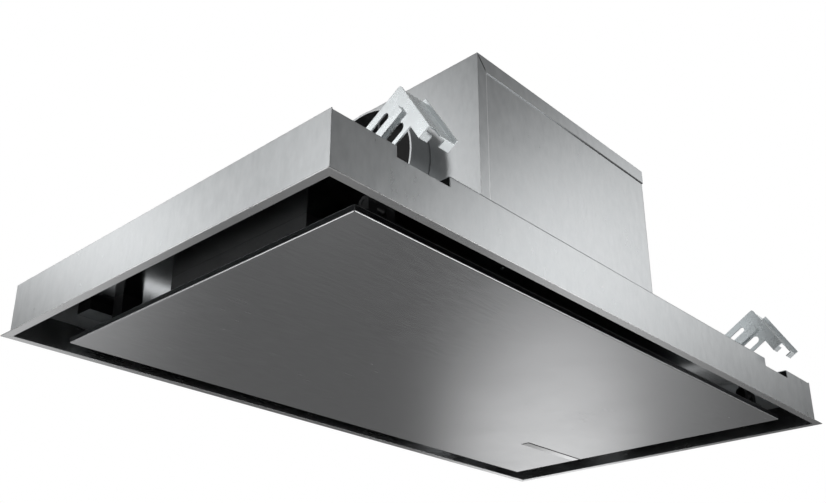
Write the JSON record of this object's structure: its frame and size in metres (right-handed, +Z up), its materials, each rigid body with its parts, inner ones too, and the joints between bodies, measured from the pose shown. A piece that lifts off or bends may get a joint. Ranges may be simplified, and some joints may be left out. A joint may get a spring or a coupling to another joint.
{
  "type": "built-in range hood",
  "caption": "Ceiling range hood: flat galvanised pan with stainless trim, hinged suction panel with rim extraction, central blower housing, side duct collar and swing brackets.",
  "frame": {"origin": "middle of the trim frame's underside, level with the suction panel's face", "axes": "+Z up into the ceiling, +X along the long side away from the duct collar, -Y towards the hinged long side"},
  "size_m": [0.9, 0.5388, 0.299],
  "materials": {
    "galvanised_steel": "galvanised, fine spangle",
    "trim_stainless": "satin stainless",
    "brushed_stainless": "brushed along the long side",
    "black_painted_steel": "satin black",
    "bright_steel": "bright zinc",
    "zinc_plated_steel": "bright blue zinc",
    "black_plastic": "fine texture",
    "nylon": "natural",
    "filter_aluminium": "expanded mesh",
    "motor_casting": "as cast",
    "control_plastic": "fine texture",
    "circuit_board": "solder mask",
    "terminal_plastic": "satin"
  },
  "bodies": {
    "hood": {"blower_deck": "galvanised_steel", "cable_gland": "black_plastic", "carrier_screws": "bright_steel", "catch_bodies": "black_plastic", "control_board": "circuit_board", "control_box": "control_plastic", "control_cover": "control_plastic", "duct_collar": "galvanised_steel", "end_walls": "galvanised_steel", "filter_carrier": "black_painted_steel", "filter_frames": "filter_aluminium", "filter_grips": "black_plastic", "filter_pads": "filter_aluminium", "flap_pin": "bright_steel", "hinge_pins": "black_painted_steel", "hinge_posts": "black_painted_steel", "housing_far": "galvanised_steel", "housing_left": "galvanised_steel", "housing_lid": "galvanised_steel", "housing_near": "galvanised_steel", "housing_right": "galvanised_steel", "housing_screws": "bright_steel", "inlet_ring": "black_plastic", "motor": "motor_casting", "motor_screws": "bright_steel", "notch_pockets": "black_painted_steel", "pan_shell": "galvanised_steel", "pedestal_rivets": "bright_steel", "pedestals": "zinc_plated_steel", "pivot_screws": "bright_steel", "scroll_case": "galvanised_steel", "terminal_block": "terminal_plastic", "trim_long": "trim_stainless", "trim_short": "trim_stainless"},
    "panel": {"panel_face": "brushed_stainless", "panel_badge": "brushed_stainless", "panel_back": "galvanised_steel", "hinge_leaves": "black_painted_steel", "strikers": "bright_steel"},
    "fan": {"impeller": "black_plastic", "fan_shaft": "bright_steel"},
    "flap_near": {"flap_near": "black_plastic"},
    "flap_far": {"flap_far": "black_plastic"},
    "bracket_near_left": {"bracket_near_left": "zinc_plated_steel"},
    "bracket_near_right": {"bracket_near_right": "zinc_plated_steel"},
    "bracket_far_left": {"bracket_far_left": "zinc_plated_steel"},
    "bracket_far_right": {"bracket_far_right": "zinc_plated_steel"},
    "plunger_left": {"plunger_left": "nylon"},
    "plunger_right": {"plunger_right": "nylon"}
  },
  "joints": [
    {"name": "panel_swing", "type": "hinge", "parent": "hood", "child": "panel", "pos_m": [0, -0.195, 0.028], "axis": [-1, 0, 0], "range_deg": [0, 75]},
    {"name": "fan_spin", "type": "hinge", "parent": "hood", "child": "fan", "pos_m": [0.02, 0.042, 0.18], "axis": [0, 0, -1], "continuous": true},
    {"name": "flap_near_swing", "type": "hinge", "parent": "hood", "child": "flap_near", "pos_m": [-0.174, -0.026, 0.196], "axis": [0, 0, -1], "range_deg": [0, 70], "stiffness_Nm_per_rad": 0.01},
    {"name": "flap_far_swing", "type": "hinge", "parent": "hood", "child": "flap_far", "pos_m": [-0.174, -0.026, 0.196], "axis": [0, 0, 1], "range_deg": [0, 70], "stiffness_Nm_per_rad": 0.01},
    {"name": "bracket_near_left_swing", "type": "hinge", "parent": "hood", "child": "bracket_near_left", "pos_m": [-0.3505, -0.189, 0.085], "axis": [1, 0, 0], "range_deg": [-57, 15]},
    {"name": "bracket_near_right_swing", "type": "hinge", "parent": "hood", "child": "bracket_near_right", "pos_m": [0.3265, -0.189, 0.085], "axis": [1, 0, 0], "range_deg": [-57, 15]},
    {"name": "bracket_far_right_swing", "type": "hinge", "parent": "hood", "child": "bracket_far_right", "pos_m": [0.3505, 0.189, 0.085], "axis": [-1, 0, 0], "range_deg": [-57, 15]},
    {"name": "bracket_far_left_swing", "type": "hinge", "parent": "hood", "child": "bracket_far_left", "pos_m": [-0.3265, 0.189, 0.085], "axis": [-1, 0, 0], "range_deg": [-57, 15]},
    {"name": "plunger_left_press", "type": "slide", "parent": "hood", "child": "plunger_left", "axis": [0, -1, 0], "range_m": [0, 0.002], "stiffness_N_per_m": 400},
    {"name": "plunger_right_press", "type": "slide", "parent": "hood", "child": "plunger_right", "axis": [0, -1, 0], "range_m": [0, 0.002], "stiffness_N_per_m": 400}
  ]
}
